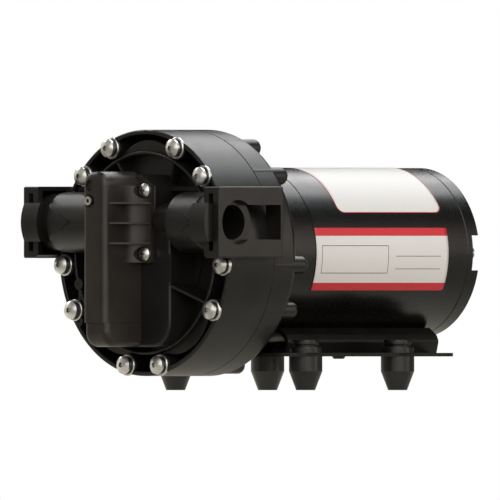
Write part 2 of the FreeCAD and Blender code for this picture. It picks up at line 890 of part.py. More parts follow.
def cover_flare():
    """The curved flank that widens from the box to the flange on the +X side."""
    near = at(switch_half_width, flare_front, flange_bottom)
    middle = at(switch_half_width + flare_bulge,
                (flare_front + switch_back) / 2 + flare_bulge_back, flange_bottom)
    far = at(tower_neck_half_width - flare_inset, switch_back, flange_bottom)
    inner = at(switch_half_width - bite, switch_back, flange_bottom)
    first = at(switch_half_width - bite, flare_front, flange_bottom)
    edges = [Part.Arc(near, middle, far).toShape(), Part.LineSegment(far, inner).toShape(),
             Part.LineSegment(inner, first).toShape(), Part.LineSegment(first, near).toShape()]
    face = Part.Face(Part.Wire(edges))
    return face.extrude(FreeCAD.Vector(0, 0, tower_neck_top - flange_bottom))


def cover_fin(z):
    """A thin triangular fin across the flare on the +X side."""
    root = switch_half_width - bite
    outline = [(root, fin_front), (switch_half_width, fin_front),
               (tower_neck_half_width - fin_inset, switch_back), (root, switch_back)]
    return slab(outline, z - fin_thickness / 2, z + fin_thickness / 2)


def switch_cover():
    """The tall hollow box over the pressure switch with its flange, fins and channels."""
    flange = prism([(-tower_neck_half_width, flange_bottom), (tower_neck_half_width, flange_bottom),
                    (tower_neck_half_width, tower_neck_top), (tower_top_half_width, tower_top),
                    (-tower_top_half_width, tower_top),
                    (-tower_neck_half_width, tower_neck_top)], switch_back, tower_front)
    flanks = both_sides(cover_flare())
    fins = []
    for z in fin_heights:
        fins += both_sides(cover_fin(z))
    solid = joined([switch_box(), flange] + flanks + fins)
    inner = switch_half_width - switch_wall
    roof = switch_top - switch_wall
    hollow = bar(-inner, inner, switch_front + switch_wall, tower_front + past,
                 switch_seam - past, roof)
    solid = solid.cut(softened(
        hollow, switch_top_round - switch_wall, lambda e: e.BoundBox.XLength < touching
        and e.BoundBox.ZMin > axis_height + roof - touching))
    for x in (-cover_screw_x, cover_screw_x):
        for z in cover_screw_heights:
            solid = solid.cut(rod(channel_radius, switch_front - past, switch_back, x, z))
            solid = solid.cut(rod(cover_screw_radius + slip_gap, switch_back - past,
                                  tower_front + past, x, z))
    solid = solid.cut(rod(dimple_radius, switch_front - past, switch_front + dimple_depth,
                          adjuster_x, dimple_height))
    solid = solid.cut(rod(adjuster_recess_radius, switch_front - past,
                          switch_front + adjuster_recess_depth, adjuster_x, adjuster_height))
    boss = rod(adjuster_radius + adjuster_boss_wall, switch_front + adjuster_recess_depth,
               switch_front + adjuster_boss_length, adjuster_x, adjuster_height)
    solid = joined([solid, boss.common(bar(-inner - bite, inner + bite, switch_front,
                                           tower_front, switch_seam, switch_top))])
    solid = solid.cut(rod(adjuster_radius + running_gap, switch_front - past,
                          switch_front + adjuster_boss_length + past,
                          adjuster_x, adjuster_height))
    tongue = bar(-inner + slip_gap, inner - slip_gap, switch_front + switch_wall - bite,
                 switch_front + switch_wall + tongue_thickness, switch_seam,
                 switch_seam + tongue_height)
    return joined([solid, tongue])


def cap_profile(front, top, bottom, half_width, toe_round):
    """A block from the tower's front forward, with its lower front corner rounded."""
    block = side_profile([(front, top), (front, bottom), (tower_front, bottom),
                          (tower_front, top)], -half_width, half_width)
    return softened(block, toe_round, lambda e: e.BoundBox.YMax < lip_y + front + touching
                    and e.BoundBox.ZMax < axis_height + bottom + touching)


def lower_cap():
    """The separate rounded cap that closes the bottom of the switch box."""
    top = switch_seam - slip_gap
    front = switch_front + cap_set_back
    block = cap_profile(front, top, switch_bottom, switch_half_width, cap_toe_round)
    block = softened(block, switch_edge_round, lambda e: e.BoundBox.XLength < touching
                     and e.BoundBox.YMin < lip_y + tower_front - touching
                     and e.BoundBox.ZMin < axis_height + top - touching)
    hollow = cap_profile(front + switch_wall, top + past, switch_bottom + switch_wall,
                         switch_half_width - switch_wall, cap_toe_round - switch_wall)
    return block.cut(hollow).cut(bar(-switch_half_width + switch_wall,
                                     switch_half_width - switch_wall, tower_front - past,
                                     tower_front + past, switch_bottom + switch_wall, top + past))


def cover_screws():
    screws = []
    for x in (-cover_screw_x, cover_screw_x):
        for z in cover_screw_heights:
            one = screw(cover_screw_head_radius, cover_screw_radius, switch_back,
                        cover_screw_head_height, switch_back + cover_screw_length, x, z)
            top = switch_back - cover_screw_head_height
            long = cover_cross_span / 2
            thin = cover_cross_width / 2
            bottom = top + cover_cross_depth
            one = one.cut(bar(x - long, x + long, top - past, bottom, z - thin, z + thin))
            screws.append(one.cut(bar(x - thin, x + thin, top - past, bottom, z - long, z + long)))
    return group(screws)


def switch_diaphragm():
    return rod(switch_diaphragm_radius, tower_front, tower_front + switch_diaphragm_thickness,
               adjuster_x, adjuster_height)


def plunger():
    """Disc on the diaphragm, rod inside the spring and a foot down to the button."""
    back = tower_front - loose_gap
    front = back - plunger_disc_thickness
    disc = rod(plunger_disc_radius, front, back, adjuster_x, adjuster_height)
    disc = disc.common(bar(-switch_half_width + switch_wall + slip_gap,
                           switch_half_width - switch_wall - slip_gap, front, back,
                           switch_seam, switch_top))
    stem = rod(plunger_rod_radius, front - plunger_rod_length, front,
               adjuster_x, adjuster_height)
    half = plunger_foot_width / 2
    foot = bar(adjuster_x - half, adjuster_x + half, front, back,
               adjuster_height - plunger_foot_drop, adjuster_height)
    return joined([disc, stem, foot])


def button_front():
    """The station of the front of the plunger's foot, where the button waits."""
    return tower_front - loose_gap - plunger_disc_thickness - loose_gap


def button_height():
    """The height of the button above the motor axis."""
    return adjuster_height - plunger_foot_drop + switch_button_rise


def microswitch():
    """The snap-action switch block, held between the cover's front wall and the button."""
    back = button_front() - switch_button_proud
    front = back - switch_body_length
    z = button_height()
    half = switch_body_width / 2
    block = bar(-half, half, front, back, z - switch_body_below, z + switch_body_above)
    reach = switch_button_inside + plunger_travel + loose_gap
    bore = rod(switch_button_radius + running_gap, back - reach, back + past, adjuster_x, z)
    low = z - switch_body_below - switch_leg_length
    middle = (front + back) / 2
    leg_half = switch_leg_width / 2
    legs = [bar(x - leg_half, x + leg_half, middle - leg_half, middle + leg_half,
                low, z - switch_body_below + bite)
            for x in (-switch_leg_spacing, 0, switch_leg_spacing)]
    carrier = bar(-half, half, switch_front + switch_wall, front,
                  z - switch_carrier_below, z + switch_carrier_above)
    return joined([block.cut(bore), carrier] + legs)


def switch_button():
    back = button_front()
    return rod(switch_button_radius, back - switch_button_proud - switch_button_inside, back,
               adjuster_x, button_height())


def adjusting_screw():
    front = switch_front - adjuster_proud
    body = rod(adjuster_radius, front, front + adjuster_length, adjuster_x, adjuster_height)
    corners = []
    for index in range(adjuster_socket_sides):
        x, z = polar(adjuster_socket, index * 360 / adjuster_socket_sides)
        corners.append((adjuster_x + x, adjuster_height + z))
    return body.cut(prism(corners, front - past, front + adjuster_socket_depth))


def seat_front():
    """The station of the front face of the spring seat."""
    return switch_front - adjuster_proud + adjuster_length


def spring_seat():
    front = seat_front()
    plate = rod(seat_radius, front, front + seat_thickness, adjuster_x, adjuster_height)
    plate = plate.common(bar(-switch_half_width + switch_wall + slip_gap,
                             switch_half_width - switch_wall - slip_gap,
                             front, front + seat_thickness, switch_seam, switch_top))
    return plate.cut(rod(plunger_rod_radius + slip_gap, front + seat_pocket_floor,
                         front + seat_thickness + past, adjuster_x, adjuster_height))


def switch_spring():
    start = seat_front() + seat_thickness
    end = tower_front - loose_gap - plunger_disc_thickness
    return coil(at(adjuster_x, start, adjuster_height), Y_AXIS, spring_coil_radius,
                spring_wire_radius, end - start, spring_turns)


# Valves, diaphragm and wobble drive

def chamber_place(angle):
    """Across and up of the middle of a pumping chamber."""
    return polar(chamber_circle_radius, angle)


def valve_plate():
    """The disc between gallery and diaphragm, with a chamber and ports for each piston."""
    solid = rod(sheet_radius, plate_face, upper_length)
    for angle in chamber_angles:
        x, z = chamber_place(angle)
        solid = solid.cut(rod(chamber_radius, chamber_floor, upper_length + past, x, z))
        solid = solid.cut(rod(inlet_stem_radius, plate_face - past, upper_length, x, z))
        for step in range(-1, 2):
            dx, dz = polar(inlet_hole_circle, angle + step * inlet_hole_step)
            solid = solid.cut(rod(inlet_hole_radius, plate_face - past, upper_length, x + dx, z + dz))
        for step in (-outlet_hole_step, outlet_hole_step):
            ox, oz = polar(outlet_hole_circle, angle + step)
            solid = solid.cut(rod(outlet_hole_radius, plate_face - past, upper_length, ox, oz))
    return solid.cut(rod(outlet_stem_radius, plate_face - past, upper_length + past))


def inlet_valves():
    """Soft mushroom valves on the chamber side, one for each chamber."""
    back = chamber_floor + inlet_valve_thickness
    front = plate_face - valve_bulb_height
    valve = turned([(0, back), (inlet_valve_radius, chamber_floor + inlet_valve_edge),
                    (inlet_valve_radius, chamber_floor), (inlet_stem_radius, chamber_floor),
                    (inlet_stem_radius, plate_face),
                    (inlet_stem_radius + valve_bulb_proud, plate_face),
                    (inlet_stem_radius, front), (0, front)], 0, chamber_circle_radius)
    return group(around(valve, chamber_angles))


def outlet_valve():
    """One soft flap disc on the gallery side over all the outlet holes."""
    face = plate_face - outlet_valve_thickness
    tip = upper_length - past
    return turned([(0, face - outlet_valve_crown), (outlet_stem_radius * 2, face),
                   (outlet_valve_radius, face + outlet_valve_crown),
                   (outlet_valve_radius, plate_face), (outlet_stem_radius, plate_face),
                   (outlet_stem_radius, tip), (0, tip)])


def circle_at(x, z, radius, station, leaned):
    """A round edge about an axis along Y, flat or leaned with the drive."""
    ring = Part.makeCircle(radius, at(x, station, z), Y_AXIS)
    return tilted(ring) if leaned else ring


def sloped_ring(x, z, outer, inner):
    """A thin ring of rubber from the flat sheet to the leaned rim under a piston."""
    front = upper_length
    back = diaphragm_back
    flat_front = circle_at(x, z, outer, front, False)
    flat_back = circle_at(x, z, outer, back, False)
    lean_front = circle_at(x, z, inner, front, True)
    lean_back = circle_at(x, z, inner, back, True)
    pairs = ((flat_front, lean_front), (lean_front, lean_back),
             (lean_back, flat_back), (flat_back, flat_front))
    faces = [Part.makeRuledSurface(first, second) for first, second in pairs]
    shell = Part.makeShell(faces)
    shell.sewShape()
    solid = Part.Solid(shell)
    solid.fix(sewing_fine, sewing_fine, sewing_coarse)
    return solid


def diaphragm():
    """The rubber sheet, with a ring at each chamber that follows the leaned pistons."""
    sheet = rod(sheet_radius, upper_length, diaphragm_back)
    rim = piston_radius + loose_gap
    land = chamber_radius - diaphragm_land
    for angle in chamber_angles:
        x, z = chamber_place(angle)
        sheet = sheet.cut(rod(land, upper_length - past, diaphragm_back + past, x, z))
    pad = pipe(rim + touching, piston_radius - diaphragm_pad_width, upper_length,
               diaphragm_back, 0, chamber_circle_radius)
    rings = [tilted(each) for each in around(pad, chamber_angles)]
    for angle in chamber_angles:
        x, z = chamber_place(angle)
        rings.append(sloped_ring(x, z, land, rim))
    return joined([sheet] + rings)


def wobble_plate():
    """The five-armed plate with a hub that holds the tilted bearing."""
    front = diaphragm_back + rear_piston_gap + rear_piston_thickness
    back = front + wobble_plate_thickness
    hub_front = wobble_station - wobble_bearing_width / 2
    hub_back = wobble_station + wobble_bearing_width / 2
    arm = bar(-wobble_arm_width / 2, wobble_arm_width / 2, front, back, 0, chamber_circle_radius)
    pad = rod(wobble_pad_radius, front, back, 0, chamber_circle_radius)
    parts = [rod(wobble_hub_radius, hub_front, hub_back)]
    parts += around(arm, chamber_angles) + around(pad, chamber_angles)
    solid = joined(parts)
    solid = solid.cut(rod(wobble_bearing_outer + press_gap, hub_front - past, hub_back + past))
    hole = rod(piston_screw_radius, front - past, back + past, 0, chamber_circle_radius)
    for cut in around(hole, chamber_angles):
        solid = solid.cut(cut)
    return tilted(solid)


def wobble_outer_race():
    half = wobble_bearing_width / 2
    return tilted(pipe(wobble_bearing_outer, wobble_bearing_split + running_gap,
                       wobble_station - half, wobble_station + half))


def wobble_inner_race():
    half = wobble_bearing_width / 2
    return tilted(pipe(wobble_bearing_split - running_gap, wobble_bearing_bore,
                       wobble_station - half, wobble_station + half))


def rear_pistons():
    front = diaphragm_back + rear_piston_gap
    back = front + rear_piston_thickness
    disc = rod(piston_radius, front, back, 0, chamber_circle_radius)
    disc = disc.cut(rod(piston_screw_radius, front - past, back + past,
                        0, chamber_circle_radius))
    return tilted(group(around(disc, chamber_angles)))


def front_pistons():
    back = upper_length - rear_piston_gap
    front = back - front_piston_thickness
    disc = turned([(piston_screw_radius, front), (piston_radius - front_piston_bevel, front),
                   (piston_radius, front + front_piston_bevel), (piston_radius, back),
                   (piston_screw_radius, back)], 0, chamber_circle_radius)
    return tilted(group(around(disc, chamber_angles)))


def piston_screws():
    seat = upper_length - rear_piston_gap - front_piston_thickness
    tip = diaphragm_back + rear_piston_gap + rear_piston_thickness + wobble_plate_thickness
    one = screw(piston_screw_head_radius, piston_screw_radius, seat, piston_screw_head_height,
                tip, 0, chamber_circle_radius)
    return tilted(group(around(one, chamber_angles)))


def drive_cam():
    """The sleeve on the shaft with a tilted journal for the wobble bearing."""
    half = wobble_bearing_width / 2
    shoulder = wobble_station + half
    journal = tilted(rod(wobble_bearing_bore, wobble_station - half, shoulder + bite))
    collar = tilted(rod(cam_collar_radius, shoulder, shoulder + cam_collar_thickness))
    sleeve = rod(cam_sleeve_radius, shoulder + past, cam_sleeve_end)
    solid = joined([journal, collar, sleeve])
    return solid.cut(rod(shaft_radius, shaft_front - past, cam_sleeve_end + past))


# Motor

def front_end_bell():
    """The motor's front plate inside the can, with a pocket for the front bearing."""
    outer = can_radius - can_wall - running_gap
    plate = rod(outer, bell_front, bell_back)
    hub = rod(motor_bearing_outer + bell_hub_wall, bell_front,
              front_bearing_front + motor_bearing_width)
    solid = joined([plate, hub])
    solid = solid.cut(rod(motor_bearing_outer + running_gap, front_bearing_front,
                          front_bearing_front + motor_bearing_width + past))
    solid = solid.cut(rod(cam_sleeve_radius + bell_shaft_room, bell_front - past, bell_back))
    bolt = rod(tie_bolt_radius, bell_front - past, bell_back + past, 0, tie_bolt_circle)
    fixing = rod(motor_screw_radius, bell_front - past, bell_back + past, 0, motor_screw_circle)
    for cut in around(bolt, tie_bolt_angles) + around(fixing, motor_screw_angles):
        solid = solid.cut(cut)
    return solid


def bearing_pair(front):
    """The outer and inner race of a shielded motor bearing."""
    back = front + motor_bearing_width
    outer = pipe(motor_bearing_outer, motor_bearing_split + running_gap, front, back)
    inner = pipe(motor_bearing_split - running_gap, shaft_radius, front, back)
    return outer, inner


def motor_can():
    can = pipe(can_radius, can_radius - can_wall, head_length, can_end)
    return can.cut(seam_groove(can_radius, can_end))


def magnets():
    """Two arc magnets against the can, above and below the armature."""
    front = magnet_front
    back = magnet_back
    ring = pipe(magnet_outer, magnet_inner, front, back)
    reach = can_radius * 2
    x, z = polar(reach, magnet_half_angle)
    wedge = prism([(0, 0), (x, z), (x, reach), (-x, reach), (-x, z)], front - past, back + past)
    return group(around(ring.common(wedge), (0, 180)))


def motor_shaft():
    back = rear_bearing_back
    return turned([(0, shaft_front), (shaft_radius - shaft_bevel, shaft_front),
                   (shaft_radius, shaft_front + shaft_bevel), (shaft_radius, back - shaft_bevel),
                   (shaft_radius - shaft_bevel, back), (0, back)])


def armature_core():
    """The slotted stack of steel plates on the shaft."""
    core = rod(core_radius, core_front, core_back)
    half = core_slot_width / 2
    slot = bar(-half, half, core_front - past, core_back + past,
               core_radius - core_slot_depth, core_radius + past)
    angles = [index * 360 / core_slots for index in range(core_slots)]
    return core.cut(joined(around(slot, angles))).cut(rod(shaft_radius, core_front - past,
                                                          core_back + past))


def windings():
    """The copper: a bundle at each end of the core and a bar in every slot."""
    outer = core_radius - winding_inset
    bundles = []
    for front in (core_front - winding_overhang, core_back):
        ring = pipe(outer, winding_inner_radius, front, front + winding_overhang)
        bundles.append(softened(ring, winding_round, lambda e: isinstance(e.Curve, Part.Circle)
                                and abs(e.Curve.Radius - outer) < touching))
    half = core_slot_width / 2 - running_gap
    fill = bar(-half, half, core_front - winding_overhang / 2, core_back + winding_overhang / 2,
               core_radius - core_slot_depth + running_gap, outer - past)
    angles = [index * 360 / core_slots for index in range(core_slots)]
    return joined(bundles + around(fill, angles))


def armature_insulator():
    """Plastic collars that carry the end turns and the commutator on the shaft."""
    front = pipe(winding_inner_radius, shaft_radius, core_front - winding_overhang, core_front)
    back = pipe(winding_inner_radius, shaft_radius, core_back, core_back + winding_overhang)
    return group([front, back])


def commutator():
    """The slotted copper drum that the brushes run on."""
    front = core_back + winding_overhang
    back = commutator_front + commutator_length
    riser = rod(commutator_radius + riser_proud, front, commutator_front)
    drum = rod(commutator_radius, front, back)
    solid = joined([riser, drum]).cut(rod(shaft_radius, front - past, back + past))
    slot = bar(-commutator_slot / 2, commutator_slot / 2, front - past, back + past,
               commutator_radius - commutator_slot_depth, commutator_radius + riser_proud + past)
    angles = [index * 360 / commutator_bars for index in range(commutator_bars)]
    return solid.cut(joined(around(slot, angles)))


def brush_plate():
    """The insulating ring behind the commutator that carries both brush holders."""
    front = brush_station + brush_length / 2 + holder_wall + running_gap
    back = front + brush_plate_thickness
    ring = pipe(can_radius - can_wall - running_gap, brush_plate_opening, front, back)
    bolt = rod(tie_bolt_radius + slip_gap, front - past, back + past, 0, tie_bolt_circle)
    for cut in around(bolt, tie_bolt_angles):
        ring = ring.cut(cut)
    return ring


def brush_base():
    """The height of the brush face above the motor axis."""
    return commutator_radius + brush_gap


def holder_end():
    """The height of the inner face of a brush holder's closed end."""
    return brush_base() + brush_height + brush_travel + brush_spring_pressed


def brush():
    half = brush_width / 2
    low = brush_base()
    block = bar(-half, half, brush_station - brush_length / 2, brush_station + brush_length / 2,
                low, low + brush_height)
    return block.cut(rod(commutator_radius + brush_gap, brush_station - brush_length,
                         brush_station + brush_length))


def brush_holder():
    """A brass box around the brush with a closed outer end for the spring."""
    half = brush_width / 2 + running_gap
    low = brush_base() + holder_rise
    high = holder_end()
    front = brush_station - brush_length / 2 - running_gap
    back = brush_station + brush_length / 2 + running_gap
    outer = bar(-half - holder_wall, half + holder_wall, front - holder_wall, back + holder_wall,
                low, high + holder_wall)
    return outer.cut(bar(-half, half, front, back, low - past, high))


def brush_spring():
    low = brush_base() + brush_height
    return coil(at(0, brush_station, low), Z_AXIS, brush_spring_radius, spring_wire_radius,
                holder_end() - low, brush_spring_turns)


def rear_end_cap():
    """The motor's back cover: a rim with two bolt notches, a floor and a bearing hub."""
    skirt_outer = can_radius - can_wall - running_gap
    rim = pipe(can_radius, can_radius - cap_rim, can_end, cap_end)
    rim = softened(rim, cap_edge_round, lambda e: is_circle(e, can_radius, cap_end))
    floor_back = cap_end - cap_recess
    disc = rod(can_radius - bite, can_end, floor_back)
    hub_front = rear_bearing_back - motor_bearing_width
    hub = rod(motor_bearing_outer + cap_hub_wall, hub_front, can_end + bite)
    knob_radius = motor_bearing_outer + cap_knob_wall
    knob_back = floor_back + cap_knob_proud
    knob = rod(knob_radius, can_end, knob_back)
    knob = softened(knob, cap_knob_round, lambda e: is_circle(e, knob_radius, knob_back))
    skirt = pipe(skirt_outer, skirt_outer - cap_skirt_wall, can_end - cap_skirt_length,
                 can_end + bite)
    solid = joined([rim, disc, hub, knob, skirt])
    solid = solid.cut(rod(motor_bearing_outer + running_gap, hub_front - past, rear_bearing_back))
    notch = bar(tie_bolt_circle - tie_bolt_head_radius - notch_room, can_radius + past,
                cap_end - notch_depth, cap_end + past, -notch_half_height, notch_half_height)
    bolt = rod(tie_bolt_radius + slip_gap, can_end - cap_skirt_length - past, cap_end,
               tie_bolt_circle, 0)
    for cut in both_sides(notch) + both_sides(bolt):
        solid = solid.cut(cut)
    return solid.cut(seam_groove(can_radius, can_end))


def tie_bolts():
    """Two long bolts from the rear cover to the front bell, with slotted heads."""
    seat = cap_end - notch_depth
    top = seat + tie_bolt_head_height
    head = rod(tie_bolt_head_radius, seat, top, tie_bolt_circle, 0)
    head = softened(head, tie_bolt_head_round, lambda e: is_circle(e, tie_bolt_head_radius, top))
    shank = rod(tie_bolt_radius, bell_front + bite, seat + bite, tie_bolt_circle, 0)
    half = tie_bolt_slot_width / 2
    slot = bar(tie_bolt_circle - tie_bolt_head_radius - past,
               tie_bolt_circle + tie_bolt_head_radius + past,
               top - tie_bolt_slot_depth, top + past, -half, half)
    return group(both_sides(joined([head, shank]).cut(slot)))


def motor_screws():
    seat = head_length - rear_wall
    one = screw(motor_screw_head_radius, motor_screw_radius, seat, motor_screw_head_height,
                seat + motor_screw_length, 0, motor_screw_circle)
    return group(around(one, motor_screw_angles))


def wrap_label():
    """A thin printed film round the top and the +X side of the can."""
    ring = pipe(can_radius + running_gap + label_thickness, can_radius + running_gap,
                label_front, label_back)
    reach = can_radius * 2
    spread = label_low_angle - label_high_angle
    points = [(0, 0)]
    for index in range(label_fan_points):
        share = index / (label_fan_points - 1)
        points.append(polar(reach, label_high_angle + spread * share))
    return ring.common(prism(points, label_front - past, label_back + past))


# Base and feet

def saddle_section(wall, low):
    """The saddle's outline seen from the front, drawn a wall inside its outer faces."""
    right = [(saddle_shoulder_x - wall / 2, saddle_shoulder_z - wall),
             (saddle_half_width - saddle_slope_x - wall,
              saddle_widest_z + saddle_slope_z - wall / 2),
             (saddle_half_width - wall, saddle_widest_z),
             (saddle_base_half_width - wall, low)]
    return right + [(-x, z) for x, z in reversed(right)]


def motor_saddle():
    """A hollow cradle: a web under the can, bulging walls and lips on the plate."""
    outer = prism(saddle_section(0, plate_top), saddle_front, saddle_back)
    length = saddle_back - saddle_front
    outer = softened(outer, saddle_edge_round, lambda e: e.BoundBox.YLength > length - past
                     and e.BoundBox.ZMax > axis_height + plate_top + past
                     and abs(e.BoundBox.XMax) > saddle_shoulder_x - past)
    wall = saddle_wall
    inner = prism(saddle_section(wall, plate_top - past), saddle_front - past, saddle_back + past)
    web = rod(can_radius + running_gap + wall, saddle_front - 2 * past, saddle_back + 2 * past)
    lip_inner = saddle_base_half_width - wall - saddle_lip_width
    lip = bar(lip_inner, saddle_base_half_width - bite, saddle_front, saddle_back,
              plate_top, plate_top + wall)
    solid = outer.cut(inner.cut(web))
    solid = joined([solid] + both_sides(lip))
    solid = solid.cut(rod(can_radius + running_gap, saddle_front - past, saddle_back + past))
    for station in saddle_screw_stations():
        solid = solid.cut(post(saddle_screw_radius + slip_gap, 0, station, plate_top, 0))
    for x, station in rivet_places():
        solid = solid.cut(post(rivet_radius, x, station, plate_top - past,
                               plate_top + wall + past))
    return solid


def saddle_screw_stations():
    return (saddle_front + saddle_screw_inset, saddle_back - saddle_screw_inset)


def rivet_places():
    x = saddle_base_half_width - saddle_wall - saddle_lip_width / 2
    stations = (saddle_front + rivet_inset, plate_back - rivet_inset)
    return [(side * x, station) for side in (-1, 1) for station in stations]


def base_plate():
    """The flat plate with rounded corners, foot holes and access to the saddle screws."""
    solid = bar(-plate_half_width, plate_half_width, plate_front, plate_back,
                plate_underside, plate_top)
    solid = softened(solid, plate_corner_radius, is_upright)
    solid = solid.cut(bar(-plate_notch_half_width, plate_notch_half_width, plate_front - past,
                          plate_front + plate_notch_depth, plate_underside - past, plate_top + past))
    for station in foot_stations:
        for x in (-foot_spacing_x / 2, foot_spacing_x / 2):
            solid = solid.cut(post(foot_plate_hole_radius, x, station,
                                   plate_underside - past, plate_top + past))
    for station in saddle_screw_stations():
        solid = solid.cut(post(saddle_screw_head_radius + screw_access_gap, 0, station,
                               plate_underside - past, plate_top + past))
    for x, station in rivet_places():
        solid = solid.cut(post(rivet_radius, x, station, plate_underside - past, plate_top + past))
    return solid


def saddle_screws():
    """Two short screws up through the saddle's web into the can."""
    web_low = -(can_radius + running_gap + saddle_wall)
    screws = []
    for station in saddle_screw_stations():
        head = post(saddle_screw_head_radius, 0, station, web_low - saddle_screw_head_height,
                    web_low)
        shank = post(saddle_screw_radius, 0, station, web_low - bite,
                     -(can_radius - can_wall) - slip_gap)
        screws.append(joined([head, shank]))
    return group(screws)


def base_rivets():
    rivets = []
    for x, station in rivet_places():
        low = plate_underside
        high = plate_top + saddle_wall
        crown = rivet_head_radius - rivet_head_bevel
        rivets.append(spun([
            (0, low - rivet_head_height), (crown, low - rivet_head_height),
            (rivet_head_radius, low), (rivet_radius, low), (rivet_radius, high),
            (rivet_head_radius, high), (crown, high + rivet_head_height),
            (0, high + rivet_head_height)], x, station))
    return group(rivets)


def rubber_feet():
    """Four tapered rubber feet, each buttoned through the plate under two rings."""
    feet = []
    top = plate_top + foot_cap_height
    ring_top = plate_top + foot_ring_height
    corner = foot_ring_round * (1 - math.sqrt(0.5))
    for station in foot_stations:
        for x in (-foot_spacing_x / 2, foot_spacing_x / 2):
            feet.append(spun([
                (foot_hole_radius, floor), (foot_tip_radius, floor),
                (foot_radius, floor + foot_taper_height), (foot_radius, plate_underside),
                (foot_plate_hole_radius - running_gap, plate_underside),
                (foot_plate_hole_radius - running_gap, plate_top),
                (foot_ring_radius, plate_top),
                (foot_ring_radius, ring_top - foot_ring_round),
                (foot_ring_radius - corner, ring_top - corner),
                (foot_ring_radius - foot_ring_round, ring_top),
                (foot_neck_radius, ring_top),
                (foot_neck_radius, ring_top + 2 * foot_neck_half_height),
                (foot_cap_radius - corner, ring_top + 2 * foot_neck_half_height + corner),
                (foot_cap_radius, ring_top + 2 * foot_neck_half_height + foot_ring_round),
                (foot_cap_radius, top - foot_ring_round),
                (foot_cap_radius - corner, top - corner),
                (foot_cap_radius - foot_ring_round, top), (foot_hole_radius, top)], x, station))
    return group(feet)


def drilled_can():
    can = motor_can()
    for station in saddle_screw_stations():
        can = can.cut(post(saddle_screw_radius, 0, station, -can_radius - past, 0))
    return can


def all_nodes():
    """Every node by name."""
    front_outer, front_inner = bearing_pair(front_bearing_front)
    rear_outer, rear_inner = bearing_pair(rear_bearing_back - motor_bearing_width)
    return {
        "upper_housing": upper_housing(),
        "lower_housing": lower_housing(),
        "head_screws": head_screws(),
        "lock_washers": lock_washers(),
        "flat_washers": flat_washers(),
        "switch_cover": switch_cover(),
        "switch_lower_cap": lower_cap(),
        "cover_screws": cover_screws(),
        "switch_diaphragm": switch_diaphragm(),
        "plunger": plunger(),
        "microswitch": microswitch(),
        "switch_button": switch_button(),
        "adjusting_screw": adjusting_screw(),
        "spring_seat": spring_seat(),
        "switch_spring": switch_spring(),
        "valve_plate": valve_plate(),
        "inlet_valves": inlet_valves(),
        "outlet_valve": outlet_valve(),
        "diaphragm": diaphragm(),
        "wobble_plate": wobble_plate(),
        "wobble_outer_race": wobble_outer_race(),
        "wobble_inner_race": wobble_inner_race(),
        "rear_pistons": rear_pistons(),
        "front_pistons": front_pistons(),
        "piston_screws": piston_screws(),
        "drive_cam": drive_cam(),
        "front_end_bell": front_end_bell(),
        "front_bearing_outer": front_outer,
        "front_bearing_inner": front_inner,
        "rear_bearing_outer": rear_outer,
        "rear_bearing_inner": rear_inner,
        "motor_can": drilled_can(),
        "magnets": magnets(),
        "motor_shaft": motor_shaft(),
        "armature_core": armature_core(),
        "armature_insulator": armature_insulator(),
        "windings": windings(),
        "commutator": commutator(),
        "brush_plate": brush_plate(),
        "brush_holders": group(around(brush_holder(), (0, 180))),
        "upper_brush": brush(),
        "lower_brush": rotated(brush(), 180),
        "upper_brush_spring": brush_spring(),
        "lower_brush_spring": rotated(brush_spring(), 180),
        "rear_end_cap": rear_end_cap(),
        "tie_bolts": tie_bolts(),
        "motor_screws": motor_screws(),
        "wrap_label": wrap_label(),
        "motor_saddle": motor_saddle(),
        "saddle_screws": saddle_screws(),
        "base_plate": base_plate(),
        "base_rivets": base_rivets(),
        "rubber_feet": rubber_feet(),
    }


os.makedirs("parts", exist_ok=True)
for name, shape in all_nodes().items():
    valid = all(solid.isValid() for solid in shape.Solids)
    print(name, len(shape.Solids), "solids", round(shape.Volume, 1), "valid", valid)
    shape.exportStep("parts/" + name + ".step")
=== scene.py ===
import bpy
import math
import numpy as np
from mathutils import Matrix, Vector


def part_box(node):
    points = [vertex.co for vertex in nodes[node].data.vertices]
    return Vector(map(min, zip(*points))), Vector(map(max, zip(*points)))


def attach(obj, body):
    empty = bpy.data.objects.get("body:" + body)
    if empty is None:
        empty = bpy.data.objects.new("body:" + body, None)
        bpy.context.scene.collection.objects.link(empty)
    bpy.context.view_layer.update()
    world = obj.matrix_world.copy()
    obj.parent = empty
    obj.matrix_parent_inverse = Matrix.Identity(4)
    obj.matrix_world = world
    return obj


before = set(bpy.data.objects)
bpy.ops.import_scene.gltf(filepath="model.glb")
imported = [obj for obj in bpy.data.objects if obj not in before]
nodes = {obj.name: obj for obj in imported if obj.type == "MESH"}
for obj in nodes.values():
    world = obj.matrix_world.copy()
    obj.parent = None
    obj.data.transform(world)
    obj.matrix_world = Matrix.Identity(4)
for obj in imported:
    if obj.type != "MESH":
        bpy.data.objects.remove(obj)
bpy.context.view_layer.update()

# The motor's axis runs along Y. A station is a distance behind the head's front lip.
MM = 0.001
can_low, can_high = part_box("motor_can")
film_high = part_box("wrap_label")[1]
axis_height = (can_low.z + can_high.z) / 2
film_radius = film_high.z - axis_height
lip_to_can = 47.6 * MM
lip_y = can_low.y - lip_to_can


# Node materials. Cells are counted to a metre, and depths are in metres.

noise_low, noise_high = 0.3, 0.7    # nearly all of a noise lies between these


def scaled(colour, factor, lift=0.0):
    """A colour made darker or lighter by a factor, and then lifted evenly."""
    return tuple(factor * c + lift for c in colour)


